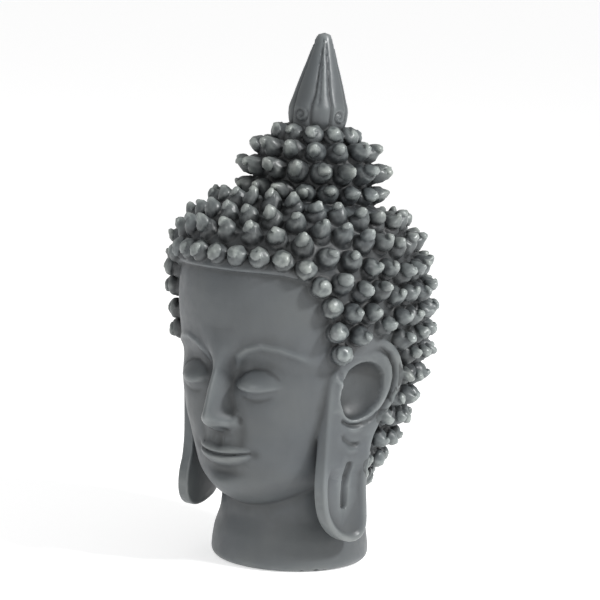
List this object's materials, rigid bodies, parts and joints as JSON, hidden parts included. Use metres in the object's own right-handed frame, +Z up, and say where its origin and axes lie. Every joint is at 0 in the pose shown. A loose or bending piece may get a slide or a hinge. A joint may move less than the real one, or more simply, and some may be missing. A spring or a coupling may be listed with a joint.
{
  "type": "buddha head statue",
  "caption": "Cast resin head of a Buddha on a plain neck, with rows of snail-shell curls, a topknot with a bud finial and long pierced ear lobes; dark grey satin finish.",
  "frame": {"origin": "centre of the flat underside of the neck", "axes": "+Z up along the neck, the face looks along -Y, the statue's left ear is on +X"},
  "size_m": [0.1524, 0.1681, 0.3],
  "materials": {
    "painted_resin": "satin"
  },
  "bodies": {
    "root": {"buddha_head": "painted_resin"}
  },
  "joints": []
}
